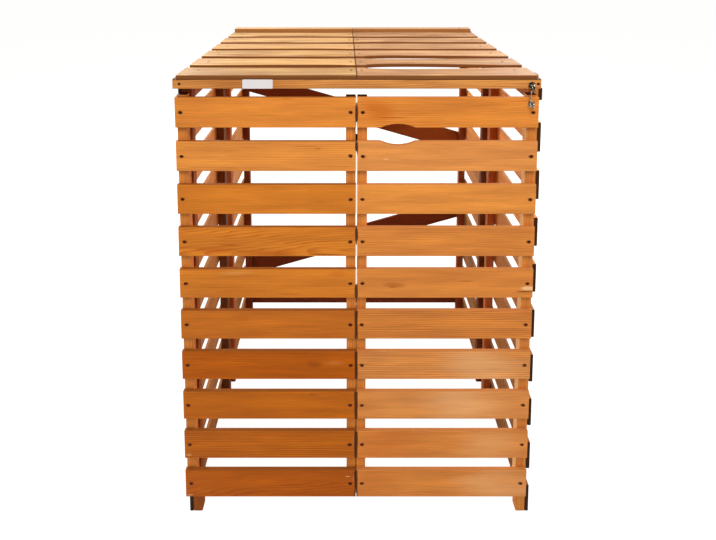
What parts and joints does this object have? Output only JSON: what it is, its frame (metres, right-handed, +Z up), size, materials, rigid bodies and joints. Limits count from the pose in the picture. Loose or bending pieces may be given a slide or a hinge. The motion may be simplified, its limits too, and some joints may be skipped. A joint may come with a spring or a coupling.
{
  "type": "wheelie bin store",
  "caption": "Slatted timber wheelie bin store with a folding front door, lifting slatted lids, slatted sides, and an open back held by slanting braces.",
  "frame": {"origin": "on the ground, under the middle of the whole part", "axes": "+Z up, -Y out of the front doors, +X to the right as seen from the front"},
  "size_m": [1.057, 0.8742, 1.4128],
  "materials": {
    "front_timber": "satin stained softwood",
    "body_timber": "satin stained softwood",
    "lid_timber": "matte stained softwood",
    "hook_wire": "dark bronze plate, glossy",
    "black_hinges": "satin black paint",
    "screws": "brown plated steel",
    "label": "matte white, blank"
  },
  "bodies": {
    "frame": {"header": "front_timber", "front_post_left": "body_timber", "front_post_right": "body_timber", "rear_post_left": "body_timber", "rear_post_right": "body_timber", "middle_battens_left": "body_timber", "middle_battens_right": "body_timber", "side_slats_left_front": "body_timber", "side_slats_left_rear": "body_timber", "side_slats_right_front": "body_timber", "side_slats_right_rear": "body_timber", "top_rails_left": "body_timber", "top_rails_right": "body_timber", "rear_top_rail": "body_timber", "rear_top_board": "body_timber", "back_bottom_rail": "body_timber", "back_brace_upper": "body_timber", "back_brace_lower": "body_timber", "blank_label": "label", "upper_eye": "hook_wire", "frame_hinges": "black_hinges", "frame_screws": "screws"},
    "door_left": {"door_left_slat_01": "front_timber", "door_left_slat_02": "front_timber", "door_left_slat_03": "front_timber", "door_left_slat_04": "front_timber", "door_left_slat_05": "front_timber", "door_left_slat_06": "front_timber", "door_left_slat_07": "front_timber", "door_left_slat_08": "front_timber", "door_left_slat_09": "front_timber", "door_left_slat_10": "front_timber", "door_left_outer_stile": "front_timber", "door_left_inner_stile": "front_timber", "door_left_hinges": "black_hinges", "door_left_screws": "screws"},
    "door_right": {"door_right_slat_01": "front_timber", "door_right_slat_02": "front_timber", "door_right_slat_03": "front_timber", "door_right_slat_04": "front_timber", "door_right_slat_05": "front_timber", "door_right_slat_06": "front_timber", "door_right_slat_07": "front_timber", "door_right_slat_08": "front_timber", "door_right_slat_09": "front_timber", "door_right_slat_10": "front_timber", "door_right_inner_stile": "front_timber", "door_right_outer_stile": "front_timber", "door_right_hinges": "black_hinges", "lower_eye": "hook_wire", "door_right_screws": "screws"},
    "lid_left": {"lid_left_slats": "lid_timber", "lid_left_battens": "body_timber", "lid_left_hinges": "black_hinges", "lid_left_screws": "screws"},
    "lid_right": {"lid_right_slats": "lid_timber", "lid_right_battens": "body_timber", "lid_right_hinges": "black_hinges", "lid_right_screws": "screws"},
    "hook": {"hook": "hook_wire"}
  },
  "joints": [
    {"name": "door_left_swing", "type": "hinge", "parent": "frame", "child": "door_left", "pos_m": [-0.5255, -0.3755, 0.7], "axis": [0, 0, -1], "range_deg": [0, 85]},
    {"name": "door_right_fold", "type": "hinge", "parent": "door_left", "child": "door_right", "pos_m": [-0.011, -0.3739, 0.7], "axis": [0, 0, 1], "range_deg": [0, 170]},
    {"name": "lid_left_lift", "type": "hinge", "parent": "frame", "child": "lid_left", "pos_m": [-0.265, 0.3196, 1.393], "axis": [-1, 0, 0], "range_deg": [0, 95]},
    {"name": "lid_right_lift", "type": "hinge", "parent": "frame", "child": "lid_right", "pos_m": [0.243, 0.3196, 1.393], "axis": [-1, 0, 0], "range_deg": [0, 95]},
    {"name": "hook_swing", "type": "hinge", "parent": "frame", "child": "hook", "pos_m": [0.48, -0.4276, 1.36375], "axis": [0, 1, 0], "range_deg": [0, 95]}
  ],
  "couplings": [
    {"joint": "door_right_fold", "follows": "door_left_swing", "ratio": 2}
  ]
}
